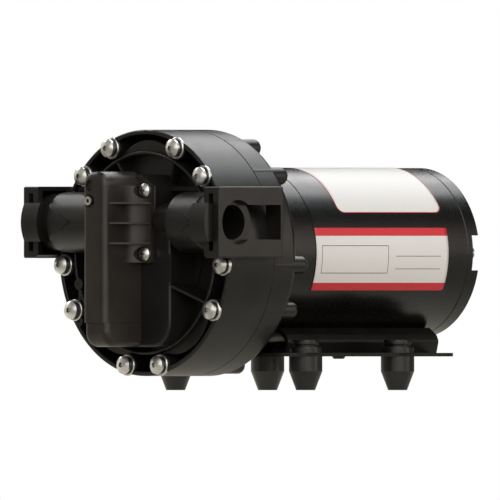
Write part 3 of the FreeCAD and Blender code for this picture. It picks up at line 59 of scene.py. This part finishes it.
class Finish:
    """A material under construction: its surface shader and its pattern coordinates."""

    def __init__(self, name, colour, roughness, metallic=0.0):
        self.material = bpy.data.materials.new(name)
        self.material.use_nodes = True
        self.tree = self.material.node_tree
        self.shader = self.tree.nodes["Principled BSDF"]
        self.shader.inputs["Base Color"].default_value = (*colour, 1.0)
        self.shader.inputs["Roughness"].default_value = roughness
        self.shader.inputs["Metallic"].default_value = metallic
        self.place = self.tree.nodes.new("ShaderNodeTexCoord").outputs["Object"]

    def add(self, kind, **values):
        """A new node with some of its settings and unlinked inputs set."""
        node = self.tree.nodes.new(kind)
        for key, value in values.items():
            if hasattr(node, key):
                setattr(node, key, value)
            else:
                node.inputs[key].default_value = value
        return node

    def link(self, output, target):
        self.tree.links.new(output, target)

    def stretched(self, scale):
        """The coordinates drawn out along the axes, for grain and brushing."""
        mapping = self.add("ShaderNodeMapping", Scale=scale)
        self.link(self.place, mapping.inputs["Vector"])
        return mapping.outputs["Vector"]

    def noise(self, cells, detail=3.0, place=None):
        """Cloudy noise, 0 to 1."""
        node = self.add("ShaderNodeTexNoise", Scale=cells, Detail=detail)
        self.link(place or self.place, node.inputs["Vector"])
        return node.outputs["Fac"]

    def spots(self, cells):
        """The distance to the nearest of many scattered points, in cells."""
        node = self.add("ShaderNodeTexVoronoi", Scale=cells)
        self.link(self.place, node.inputs["Vector"])
        return node.outputs["Distance"]

    def waves(self, cells, distortion, direction="X"):
        """Parallel bands, 0 to 1, across one axis."""
        node = self.add("ShaderNodeTexWave", Scale=cells, Distortion=distortion,
                        bands_direction=direction)
        self.link(self.place, node.inputs["Vector"])
        return node.outputs["Fac"]

    def ranged(self, value, low=noise_low, high=noise_high, new_low=0.0, new_high=1.0):
        """A value stretched from one range to another and kept inside it."""
        node = self.add("ShaderNodeMapRange")
        for index, setting in enumerate((low, high, new_low, new_high), 1):
            node.inputs[index].default_value = setting
        self.link(value, node.inputs[0])
        return node.outputs[0]

    def mixed(self, share, first, second):
        """A colour between two, by a share."""
        node = self.add("ShaderNodeMix", data_type="RGBA")
        for socket, colour in ((node.inputs[6], first), (node.inputs[7], second)):
            if isinstance(colour, tuple):
                socket.default_value = (*colour, 1.0)
            else:
                self.link(colour, socket)
        self.link(share, node.inputs[0])
        return node.outputs[2]

    def colour(self, share, first, second):
        """The surface's colour, between two by a share."""
        self.link(self.mixed(share, first, second), self.shader.inputs["Base Color"])

    def roughness(self, noise, glossiest, dullest):
        """The surface's roughness, which wanders between two values with a noise."""
        self.link(self.ranged(noise, new_low=glossiest, new_high=dullest),
                  self.shader.inputs["Roughness"])

    def relief(self, *layers):
        """Fine height detail: pairs of a height and its depth."""
        normal = None
        for height, depth in layers:
            bump = self.add("ShaderNodeBump", Distance=depth, Strength=1.0)
            self.link(height, bump.inputs["Height"])
            if normal is not None:
                self.link(normal, bump.inputs["Normal"])
            normal = bump.outputs["Normal"]
        self.link(normal, self.shader.inputs["Normal"])


def moulded_plastic(name, colour, roughness):
    """Glass-filled black plastic: clouded colour, faint flow streaks and a fine tool texture."""
    cloud_cells, gloss_cells, streak_cells, texture_cells = 60.0, 140.0, 900.0, 5200.0
    along_flow = (1.0, 0.12, 1.0)
    texture_depth, streak_depth = 0.000012, 0.000008
    darker, lighter = scaled(colour, 0.72), scaled(colour, 1.25, 0.002)
    glossiest, dullest = roughness - 0.015, roughness + 0.02
    finish = Finish(name, colour, roughness)
    streak = finish.noise(streak_cells, detail=2.0, place=finish.stretched(along_flow))
    finish.colour(finish.ranged(finish.noise(cloud_cells, detail=4.0)), darker, lighter)
    finish.roughness(finish.noise(gloss_cells, detail=5.0), glossiest, dullest)
    finish.relief((finish.noise(texture_cells, detail=2.0), texture_depth),
                  (streak, streak_depth))
    return finish.material


def powder_coat(name, colour, roughness, peel_depth):
    """Black powder coat: a rolling orange-peel skin with a slightly uneven gloss."""
    cloud_cells, gloss_cells, peel_cells, grain_cells = 45.0, 220.0, 1100.0, 3600.0
    cloud_low, cloud_high = 0.35, 0.65
    lighter = scaled(colour, 1.5, 0.002)
    glossiest, dullest = roughness - 0.012, roughness + 0.02
    finish = Finish(name, colour, roughness)
    finish.colour(finish.ranged(finish.noise(cloud_cells), cloud_low, cloud_high),
                  colour, lighter)
    finish.roughness(finish.noise(gloss_cells, detail=4.0), glossiest, dullest)
    finish.relief((finish.noise(peel_cells, detail=2.0), peel_depth),
                  (finish.noise(grain_cells, detail=1.0), peel_depth / 3))
    return finish.material


def printed_film(name, colour, roughness):
    """Ink on a satin film: a fine print grain under an even clear face."""
    gloss_cells, face_cells, grain_cells = 90.0, 420.0, 2600.0
    face_depth = 0.0000005
    darker = scaled(colour, 0.93)
    glossiest, dullest = roughness - 0.01, roughness + 0.02
    finish = Finish(name, colour, roughness)
    finish.colour(finish.ranged(finish.noise(grain_cells, detail=2.0)), darker, colour)
    finish.roughness(finish.noise(gloss_cells), glossiest, dullest)
    finish.relief((finish.noise(face_cells, detail=2.0), face_depth))
    return finish.material


def metal(name, colour, roughness, brushed=(1.0, 1.0, 1.0)):
    """Bare metal: clouded tone, fine brushing, small dull marks, and painted shade that darkens
    its colour in recesses.
    """
    cloud_cells, dent_cells, brush_cells = 260.0, 700.0, 1800.0
    brush_depth, dent_depth = 0.00001, 0.000012
    recess_reach = 1.6 * MM
    full_shade_share, no_shade_share = 0.45, 0.90    # the open share round a point at which the painted shade is full, and at which it is gone
    darker, recess_shade_colour = scaled(colour, 0.82), scaled(colour, 0.10)
    glossiest, dullest = roughness - 0.04, roughness + 0.08
    finish = Finish(name, colour, roughness, metallic=1.0)
    tone = finish.mixed(finish.ranged(finish.noise(cloud_cells, detail=4.0)), darker, colour)
    # Painted shade: where ambient occlusion finds a recess within the reach, the colour falls
    # towards a tenth of the base colour.
    around = finish.add("ShaderNodeAmbientOcclusion", samples=8, Distance=recess_reach)
    finish.colour(finish.ranged(around.outputs["AO"], full_shade_share, no_shade_share), recess_shade_colour, tone)
    lines = finish.noise(brush_cells, detail=3.0, place=finish.stretched(brushed))
    finish.roughness(lines, glossiest, dullest)
    finish.relief((lines, brush_depth), (finish.noise(dent_cells), dent_depth))
    return finish.material


def foot_rubber():
    """Black rubber with a dull bloom and a fine matt skin."""
    bloom_cells, gloss_cells, swell_cells, skin_cells = 120.0, 320.0, 400.0, 3800.0
    bloom_low, bloom_high = 0.35, 0.75
    glossiest, dullest = 0.27, 0.34
    skin_depth = 0.00002
    bare, bloomed = (0.005, 0.0046, 0.0042), (0.011, 0.0102, 0.0090)
    finish = Finish("foot_rubber", (0.012, 0.011, 0.01), 0.36)
    finish.colour(finish.ranged(finish.noise(bloom_cells, detail=5.0), bloom_low, bloom_high),
                  bare, bloomed)
    finish.roughness(finish.noise(gloss_cells), glossiest, dullest)
    finish.relief((finish.noise(skin_cells, detail=2.0), skin_depth),
                  (finish.noise(swell_cells, detail=2.0), skin_depth))
    return finish.material


def soft_black():
    """The elastomer of the valves and the diaphragm: matt, with a fine fabric print."""
    cloud_cells, weave_cells, grain_cells = 150.0, 700.0, 1500.0
    weave_depth, grain_depth = 0.00003, 0.00002
    darker, lighter = (0.02, 0.02, 0.02), (0.05, 0.05, 0.048)
    finish = Finish("soft_black", (0.03, 0.03, 0.03), 0.6)
    finish.colour(finish.noise(cloud_cells, detail=4.0), darker, lighter)
    finish.relief((finish.waves(weave_cells, distortion=0.4), weave_depth),
                  (finish.noise(grain_cells), grain_depth))
    return finish.material


def banded(name, colour, other, cells, direction, roughness, metallic):
    """Material in fine parallel layers: stacked steel plates or wound wire."""
    gloss_cells = 300.0
    band_depth = 0.00008
    glossiest, dullest = roughness - 0.05, roughness + 0.1
    finish = Finish(name, colour, roughness, metallic)
    bands = finish.waves(cells, distortion=0.15, direction=direction)
    finish.colour(bands, other, colour)
    finish.roughness(finish.noise(gloss_cells, detail=4.0), glossiest, dullest)
    finish.relief((bands, band_depth))
    return finish.material


def granular(name, colour, roughness, cells, depth):
    """A pressed or moulded grain: ferrite, carbon, fibre board or natural acetal."""
    gloss_cells, relief_cells = 200.0, cells * 1.5
    grain_middle, grain_edge = 0.1, 0.7
    lighter = scaled(colour, 1.35, 0.004)
    glossiest, dullest = roughness - 0.06, roughness + 0.08
    finish = Finish(name, colour, roughness)
    finish.colour(finish.ranged(finish.spots(cells), grain_middle, grain_edge),
                  lighter, colour)
    finish.roughness(finish.noise(gloss_cells, detail=4.0), glossiest, dullest)
    finish.relief((finish.noise(relief_cells), depth))
    return finish.material


# Each finish has a colour and a roughness, and then what its kind asks for.
lengthwise = (1.0, 0.1, 1.0)    # brushing drawn out along the shaft
head_plastic = moulded_plastic("head_plastic", (0.0080, 0.0074, 0.0068), 0.35)
switch_plastic = moulded_plastic("switch_plastic", (0.0240, 0.0200, 0.0172), 0.33)
motor_paint = powder_coat("motor_paint", (0.0030, 0.0029, 0.0027), 0.27,
                          peel_depth=0.0000025)
base_paint = powder_coat("base_paint", (0.006, 0.0056, 0.0050), 0.34, peel_depth=0.00003)
base_shader = base_paint.node_tree.nodes["Principled BSDF"]
base_shader.inputs["Specular IOR Level"].default_value = 0.22
film_black = printed_film("film_black", (0.006, 0.0058, 0.006), 0.27)
film_white = printed_film("film_white", (0.80, 0.79, 0.775), 0.38)
film_red = printed_film("film_red", (0.66, 0.030, 0.045), 0.36)
film_grey = printed_film("film_grey", (0.09, 0.088, 0.088), 0.36)
stainless = metal("stainless", (0.92, 0.92, 0.89), 0.32)
plated_steel = metal("plated_steel", (0.58, 0.57, 0.54), 0.28)
bearing_steel = metal("bearing_steel", (0.62, 0.62, 0.64), 0.16, lengthwise)
cast_aluminium = metal("cast_aluminium", (0.55, 0.55, 0.56), 0.48)
blackened_steel = metal("blackened_steel", (0.035, 0.034, 0.031), 0.42)
brass = metal("brass", (0.78, 0.58, 0.25), 0.30)
copper_bars = metal("copper_bars", (0.80, 0.42, 0.24), 0.26, lengthwise)
core_plates = banded("core_plates", (0.32, 0.32, 0.33), (0.13, 0.13, 0.14), cells=1000.0,
                     direction="Y", roughness=0.42, metallic=1.0)
wound_copper = banded("wound_copper", (0.60, 0.27, 0.12), (0.24, 0.09, 0.04), cells=700.0,
                      direction="X", roughness=0.3, metallic=0.6)
ferrite = granular("ferrite", (0.035, 0.035, 0.038), 0.6, cells=1500.0,
                   depth=0.00004)
carbon = granular("carbon", (0.02, 0.02, 0.021), 0.5, cells=2200.0,
                  depth=0.00003)
fibre_board = granular("fibre_board", (0.22, 0.11, 0.05), 0.55, cells=900.0,
                       depth=0.00004)
acetal = granular("acetal", (0.62, 0.60, 0.54), 0.42, cells=600.0,
                  depth=0.00002)

finish_of = {
    head_plastic: ("upper_housing", "lower_housing"),
    switch_plastic: ("switch_cover", "switch_lower_cap"),
    motor_paint: ("motor_can", "rear_end_cap"),
    base_paint: ("motor_saddle", "base_plate"),
    film_black: ("wrap_label",),
    stainless: ("head_screws", "lock_washers", "flat_washers", "cover_screws",
                "adjusting_screw", "piston_screws"),
    blackened_steel: ("saddle_screws", "base_rivets"),
    plated_steel: ("tie_bolts", "motor_screws",
                   "switch_spring", "upper_brush_spring", "lower_brush_spring"),
    bearing_steel: ("wobble_outer_race", "wobble_inner_race", "front_bearing_outer",
                    "front_bearing_inner", "rear_bearing_outer", "rear_bearing_inner",
                    "motor_shaft", "drive_cam"),
    cast_aluminium: ("wobble_plate", "front_end_bell"),
    brass: ("spring_seat", "brush_holders"),
    copper_bars: ("commutator",),
    core_plates: ("armature_core",),
    wound_copper: ("windings",),
    ferrite: ("magnets",),
    carbon: ("upper_brush", "lower_brush"),
    fibre_board: ("microswitch", "armature_insulator", "brush_plate"),
    acetal: ("plunger", "switch_button", "valve_plate", "rear_pistons", "front_pistons"),
    foot_rubber(): ("rubber_feet",),
    soft_black(): ("switch_diaphragm", "inlet_valves", "outlet_valve", "diaphragm"),
}
for material, names in finish_of.items():
    for name in names:
        for slot in nodes[name].material_slots:
            slot.link = "OBJECT"
            slot.material = material


# Printed panels on the label film

def wrapped_sheet(name, station, angle, thickness, material, closed=False):
    """A thin printed sheet on the label film. Station and angle are grids: a point lies at its
    station along the motor and at its angle, in degrees from the top towards +X, at the film's
    radius plus the sheet's thickness. The sheet is then given nine tenths of that thickness
    inwards, so that it stays clear of the film. The last row of a closed sheet is joined to
    its first."""
    solid_share = 0.9
    turn = np.radians(angle)
    radius = film_radius + thickness
    points = np.stack([radius * np.sin(turn), lip_y + station,
                       axis_height + radius * np.cos(turn)], axis=-1)
    rows, columns = station.shape
    index = np.arange(rows * columns).reshape(rows, columns)
    if closed:
        index = np.vstack([index, index[:1]])
    quads = np.stack([index[:-1, :-1], index[:-1, 1:], index[1:, 1:], index[1:, :-1]],
                     axis=-1).reshape(-1, 4)
    mesh = bpy.data.meshes.new(name)
    mesh.from_pydata(points.reshape(-1, 3).tolist(), [], quads.tolist())
    mesh.shade_smooth()
    mesh.materials.append(material)
    piece = bpy.data.objects.new(name, mesh)
    bpy.context.scene.collection.objects.link(piece)
    shell = piece.modifiers.new("thickness", "SOLIDIFY")
    shell.thickness = thickness * solid_share
    shell.offset = -1.0
    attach(piece, "root")


def plain_patch(name, front, back, first_angle, last_angle, thickness, material, corner=0.0,
                rounded=(True, True, True, True)):
    """A patch between two stations and two angles, first and last. A row at one angle is drawn
    in at its ends by corner - sqrt(corner^2 - reach^2), where reach is how far the row lies
    inside a corner's quarter circle. Rows crowd towards both edges as (1 - cos) / 2 of an even
    share. The four marks say which corners are round: first row's front and back, then the
    last row's front and back."""
    stations, rows = 49, 73
    across, share = np.meshgrid(np.linspace(0, 1, stations), np.linspace(0, 1, rows),
                                indexing="ij")
    angle = first_angle + (last_angle - first_angle) * (1 - np.cos(math.pi * share)) / 2
    from_first = np.radians(angle - first_angle) * film_radius
    from_last = np.radians(last_angle - angle) * film_radius

    def drawn_in(distance, is_round):
        reach = np.clip(corner - distance, 0, corner) * is_round
        return corner - np.sqrt(np.maximum(corner ** 2 - reach ** 2, 0))

    front_end = front + drawn_in(from_first, rounded[0]) + drawn_in(from_last, rounded[2])
    back_end = back - drawn_in(from_first, rounded[1]) - drawn_in(from_last, rounded[3])
    station = front_end + (back_end - front_end) * across
    wrapped_sheet(name, station, angle, thickness, material)


def ruled_frame(name, front, back, first_angle, last_angle, line, thickness, material):
    """A thin rectangular outline. Round it runs an outer rectangle, and the same share of an
    inner one that is smaller by the line's width on each side, joined across."""
    sides, steps = 4, 16
    turn = math.degrees(line / film_radius)
    share = np.arange(sides * steps) / steps
    turning = (0, 1, 2, 3, 4)
    wide = np.interp(share, turning, (0, 1, 1, 0, 0))
    high = np.interp(share, turning, (0, 0, 1, 1, 0))
    outer_station = front + (back - front) * wide
    outer_angle = first_angle + (last_angle - first_angle) * high
    inner_station = front + line + (back - front - 2 * line) * wide
    inner_angle = first_angle + turn + (last_angle - first_angle - 2 * turn) * high
    station = np.stack([outer_station, inner_station], axis=1)
    angle = np.stack([outer_angle, inner_angle], axis=1)
    wrapped_sheet(name, station, angle, thickness, material, closed=True)


ground, print_on_ground = 0.03 * MM, 0.045 * MM

# The side panel has a stripe along its upper and lower edge, and round corners at the ends
# of its lower back edge only.
side_front, side_back = 78.7 * MM, 170.2 * MM
side_top, side_bottom = 72.9, 116.05
side_corner = 1.3 * MM
side_rounded = (False, False, False, True)
stripe_turn = 5.55
plain_patch("side_panel", side_front, side_back, side_top, side_bottom, ground,
            film_white, side_corner, side_rounded)
plain_patch("upper_stripe", side_front, side_back, side_top, side_top + stripe_turn,
            print_on_ground, film_red)
plain_patch("lower_stripe", side_front, side_back, side_bottom - stripe_turn, side_bottom,
            print_on_ground, film_red, side_corner, side_rounded)

# An empty ruled box and two rules stand on the side panel.
box_front, box_back = 82.6 * MM, 128.8 * MM
box_top, box_bottom = 84.9, 103.9
box_line = 0.34 * MM
ruled_frame("ruled_box", box_front, box_back, box_top, box_bottom, box_line, print_on_ground,
            film_grey)
rule_front, rule_back = 134.0 * MM, 165.0 * MM
rule_turn = 0.42
for name, angle in (("upper_rule", 92.0), ("lower_rule", 100.6)):
    plain_patch(name, rule_front, rule_back, angle, angle + rule_turn, print_on_ground,
                film_grey)

# The top panel lies over the motor's top with a thin outline round it.
top_front, top_back = 98.8 * MM, 170.4 * MM
top_edge, top_corner = 61.9, 4.2 * MM
outline = 0.4 * MM
outline_turn = math.degrees(outline / film_radius)
plain_patch("top_panel_outline", top_front, top_back, -top_edge, top_edge, ground, film_red,
            top_corner)
plain_patch("top_panel", top_front + outline, top_back - outline, outline_turn - top_edge,
            top_edge - outline_turn, print_on_ground, film_white, top_corner - outline)


# Camera: the photograph's level view from the pump's right front, without perspective
look = np.array([-0.7193, 0.6947, 0.0])
aim_station, aim_above_axis = 73.5 * MM, 1.45 * MM
aim = np.array([0.0, lip_y + aim_station, axis_height + aim_above_axis])
camera_distance = 3.0
camera_data = bpy.data.cameras.new("camera")
camera_data.type = "ORTHO"
camera_data.ortho_scale = 0.2496
camera_data.clip_start = 0.1
camera_data.clip_end = 60.0
camera = bpy.data.objects.new("camera", camera_data)
camera.location = aim - look * camera_distance
camera.rotation_euler = (math.pi / 2, 0.0, math.atan2(-look[0], look[1]))
bpy.context.scene.collection.objects.link(camera)
bpy.context.scene.camera = camera


# Floor, lights and surroundings

def pale_floor():
    """A wide pale floor under the feet. The camera sees it nearly as bright as the backdrop,
    with a faint shadow left. Its bounce light is dim and olive, and it glows round a spot
    beside the motor on the side that the camera doesn't see."""
    half = 12.0
    olive, glow_colour = (0.36, 0.34, 0.29, 1.0), (1.0, 0.95, 0.82, 1.0)
    glow_spot = (-0.12, 0.02, 0.0)
    glow_full_to, glow_gone_at, glow_strength = 0.08, 0.28, 0.62
    seen_strength, seen_share = 1.08, 0.9
    mesh = bpy.data.meshes.new("floor")
    mesh.from_pydata([(-half, -half, 0), (half, -half, 0), (half, half, 0), (-half, half, 0)],
                     [], [(0, 1, 2, 3)])
    floor = bpy.data.objects.new("floor", mesh)
    bpy.context.scene.collection.objects.link(floor)
    material = bpy.data.materials.new("floor")
    material.use_nodes = True
    tree = material.node_tree
    shader = tree.nodes["Principled BSDF"]
    shader.inputs["Base Color"].default_value = olive
    shader.inputs["Roughness"].default_value = 0.9
    shader.inputs["Emission Color"].default_value = glow_colour
    away = tree.nodes.new("ShaderNodeVectorMath")
    away.operation = "DISTANCE"
    away.inputs[1].default_value = glow_spot
    tree.links.new(tree.nodes.new("ShaderNodeTexCoord").outputs["Object"], away.inputs[0])
    fading = tree.nodes.new("ShaderNodeMapRange")
    fading.interpolation_type = "SMOOTHSTEP"
    for index, setting in enumerate((glow_full_to, glow_gone_at, glow_strength, 0.0), 1):
        fading.inputs[index].default_value = setting
    tree.links.new(away.outputs["Value"], fading.inputs[0])
    tree.links.new(fading.outputs[0], shader.inputs["Emission Strength"])
    seen = tree.nodes.new("ShaderNodeEmission")
    seen.inputs["Strength"].default_value = seen_strength
    path = tree.nodes.new("ShaderNodeLightPath")
    share = tree.nodes.new("ShaderNodeMath")
    share.operation = "MULTIPLY"
    share.inputs[1].default_value = seen_share
    mix = tree.nodes.new("ShaderNodeMixShader")
    tree.links.new(path.outputs["Is Camera Ray"], share.inputs[0])
    tree.links.new(share.outputs[0], mix.inputs[0])
    tree.links.new(shader.outputs[0], mix.inputs[1])
    tree.links.new(seen.outputs[0], mix.inputs[2])
    tree.links.new(mix.outputs[0], tree.nodes["Material Output"].inputs["Surface"])
    mesh.materials.append(material)


def soft_surroundings(glows):
    """A white backdrop for the camera, and for everything else a black studio with soft glows.
    A glow has a direction, a colour and the cosines between which it rises to its full."""
    world = bpy.data.worlds.new("studio")
    bpy.context.scene.world = world
    world.use_nodes = True
    tree = world.node_tree
    tree.nodes.clear()
    place = tree.nodes.new("ShaderNodeTexCoord").outputs["Generated"]
    total = None
    for direction, colour, low, high in glows:
        facing = tree.nodes.new("ShaderNodeVectorMath")
        facing.operation = "DOT_PRODUCT"
        length = math.sqrt(sum(c * c for c in direction))
        facing.inputs[1].default_value = [c / length for c in direction]
        tree.links.new(place, facing.inputs[0])
        rise = tree.nodes.new("ShaderNodeMapRange")
        rise.interpolation_type = "SMOOTHSTEP"
        rise.inputs[1].default_value = low
        rise.inputs[2].default_value = high
        tree.links.new(facing.outputs["Value"], rise.inputs[0])
        tint = tree.nodes.new("ShaderNodeVectorMath")
        tint.operation = "SCALE"
        tint.inputs[0].default_value = colour
        tree.links.new(rise.outputs[0], tint.inputs["Scale"])
        if total is None:
            total = tint.outputs[0]
            continue
        add = tree.nodes.new("ShaderNodeVectorMath")
        add.operation = "ADD"
        tree.links.new(tint.outputs[0], add.inputs[0])
        tree.links.new(total, add.inputs[1])
        total = add.outputs[0]
    studio = tree.nodes.new("ShaderNodeBackground")
    backdrop = tree.nodes.new("ShaderNodeBackground")
    backdrop.inputs["Color"].default_value = (1.0, 1.0, 1.0, 1.0)
    path = tree.nodes.new("ShaderNodeLightPath")
    mix = tree.nodes.new("ShaderNodeMixShader")
    output = tree.nodes.new("ShaderNodeOutputWorld")
    tree.links.new(total, studio.inputs["Color"])
    tree.links.new(path.outputs["Is Camera Ray"], mix.inputs[0])
    tree.links.new(studio.outputs[0], mix.inputs[1])
    tree.links.new(backdrop.outputs[0], mix.inputs[2])
    tree.links.new(mix.outputs[0], output.inputs["Surface"])


def softbox(name, place, target, width, height, power, colour=(1.0, 1.0, 1.0)):
    """A rectangular soft light at a place, turned to a target, that the camera doesn't see."""
    data = bpy.data.lights.new(name, "AREA")
    data.shape = "RECTANGLE"
    data.size = width
    data.size_y = height
    data.energy = power
    data.color = colour
    light = bpy.data.objects.new(name, data)
    bpy.context.scene.collection.objects.link(light)
    light.location = place
    direction = np.array(target) - np.array(place)
    flat = math.hypot(direction[0], direction[1])
    light.rotation_euler = (math.atan2(flat, -direction[2]), 0.0,
                            math.atan2(-direction[0], direction[1]))
    light.visible_camera = False


pale_floor()
soft_surroundings((
    ((-0.72, -0.69, 0.05), (0.10, 0.105, 0.095), 0.75, 0.98),    # left of the pump
    ((0.72, -0.69, 0.15), (1.33, 1.28, 1.25), 0.60, 0.95),       # behind the camera
    ((-1.0, 0.0, 0.1), (0.70, 0.67, 0.60), 0.80, 0.97),          # behind the pump, left
    ((-0.5, -0.6, 0.62), (0.31, 0.28, 0.25), 0.70, 0.95),        # high on the left
    ((1.0, 0.0, 0.05), (0.98, 0.88, 0.80), 0.50, 0.90),          # right of the camera
))

# Four boxes hang at one height and shine straight down. Each has its place over the floor,
# its width, height and power, and its colour.
ceiling = 1.20
for name, x, y, width, height, power, colour in (
        ("over_right", 0.40, 0.35, 0.5, 1.3, 5.1, (0.90, 1.0, 1.03)),
        ("over_back", -0.15, 1.10, 0.6, 0.45, 4.1, (1.0, 1.0, 1.0)),
        ("over_far", -0.85, 1.20, 0.8, 0.4, 6.6, (1.0, 1.0, 1.0)),
        ("over_left", -1.70, 0.10, 0.9, 1.2, 15.6, (1.0, 1.0, 1.0))):
    softbox(name, (x, y, ceiling), (x, y, 0.0), width, height, power, colour)
softbox("right_strip", (1.33, 0.90, 0.40), target=(0.0, 0.0, 0.15), width=0.35, height=1.2,
        power=2.6, colour=(1.0, 0.88, 0.78))
softbox("camera_fill", (0.85, -0.54, 1.25), target=(0.0, 0.0, 0.07), width=1.0, height=0.8,
        power=2.5, colour=(0.9, 1.0, 1.1))
bpy.context.scene.view_settings.view_transform = "Standard"
